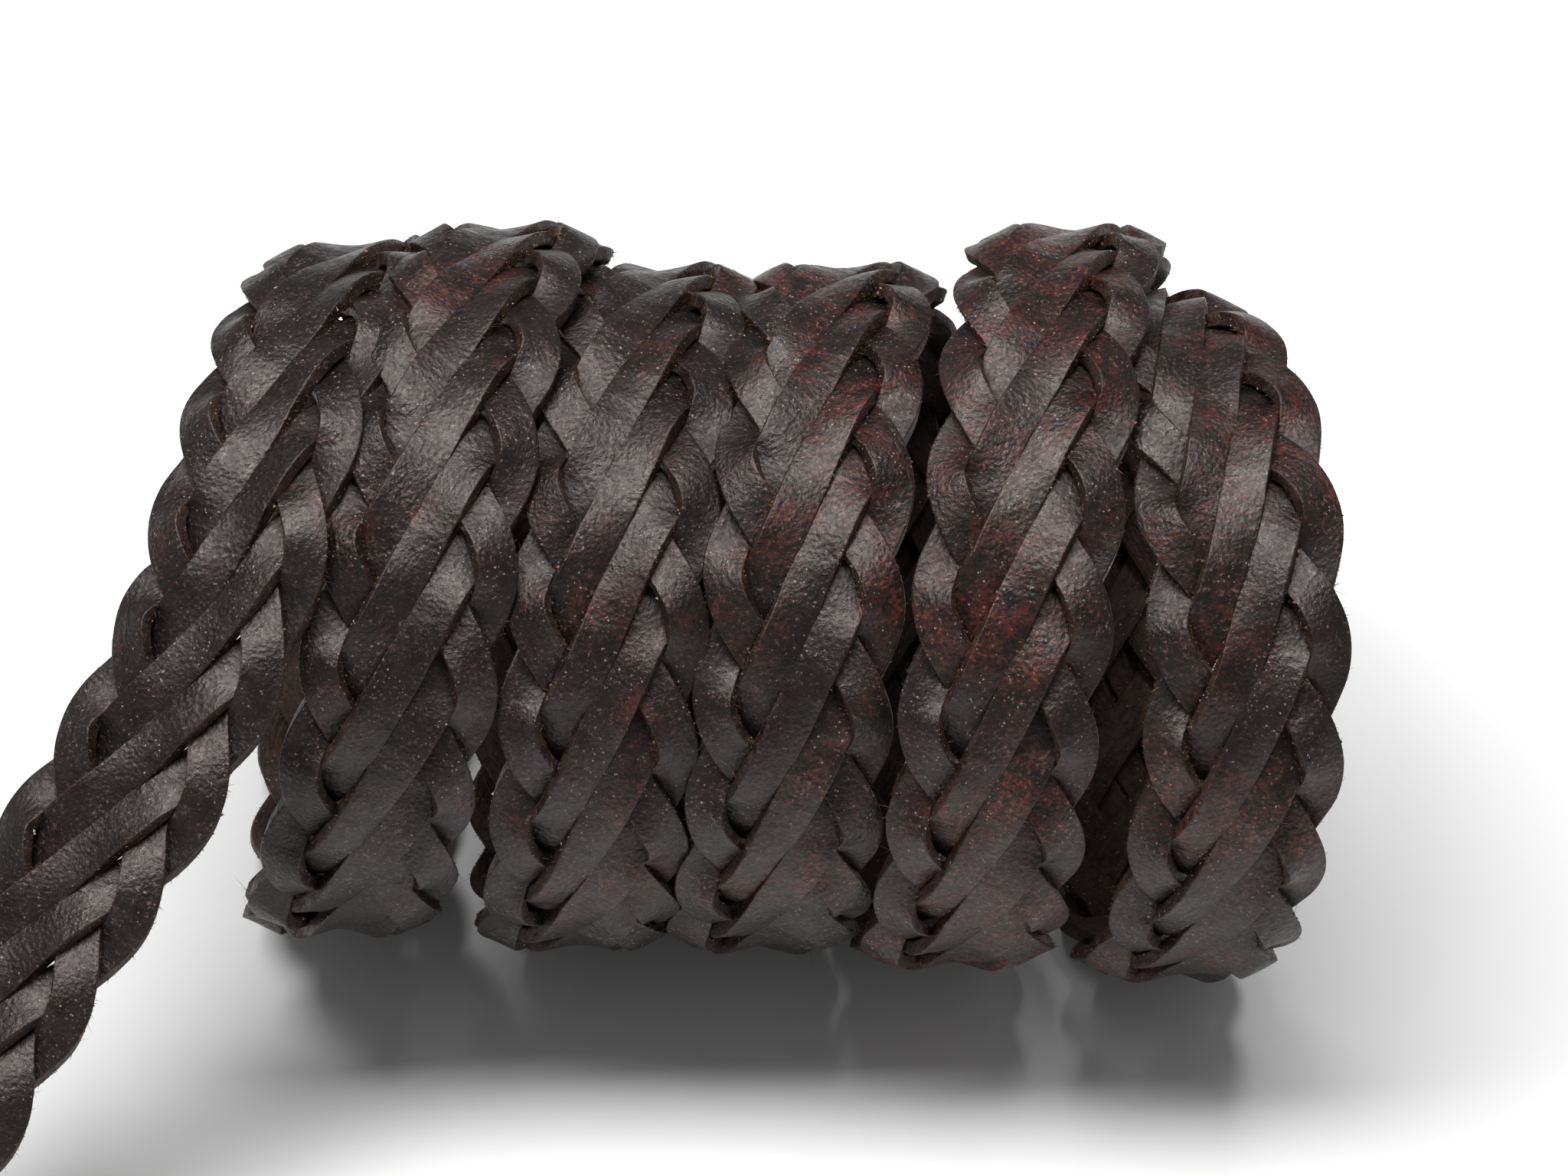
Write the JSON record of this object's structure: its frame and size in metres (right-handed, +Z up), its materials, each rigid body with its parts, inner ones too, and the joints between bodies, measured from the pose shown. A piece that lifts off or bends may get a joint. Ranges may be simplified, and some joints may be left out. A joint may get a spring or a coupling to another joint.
{
  "type": "plaited leather headband",
  "caption": "Flat plaited leather band, bound at both ends and wound in a loose open coil, to wrap and tie round the head",
  "frame": {"origin": "middle of the underside, on the surface that the coil and its tail lie on", "axes": "+X along the coil's axis, from the tail's side to the start's side; +Y away from the tail; +Z up"},
  "size_m": [0.1346, 0.1154, 0.0608],
  "materials": {
    "lace": "dark brown waxed leather lace, red-brown where worn, raw fibrous edges",
    "binding": "narrow dark brown leather thong, wound tight"
  },
  "bodies": {
    "root": {"lace_1": "lace", "lace_2": "lace", "lace_3": "lace", "lace_4": "lace", "lace_5": "lace", "lace_6": "lace", "start_binding": "binding", "tail_binding": "binding"}
  },
  "joints": []
}
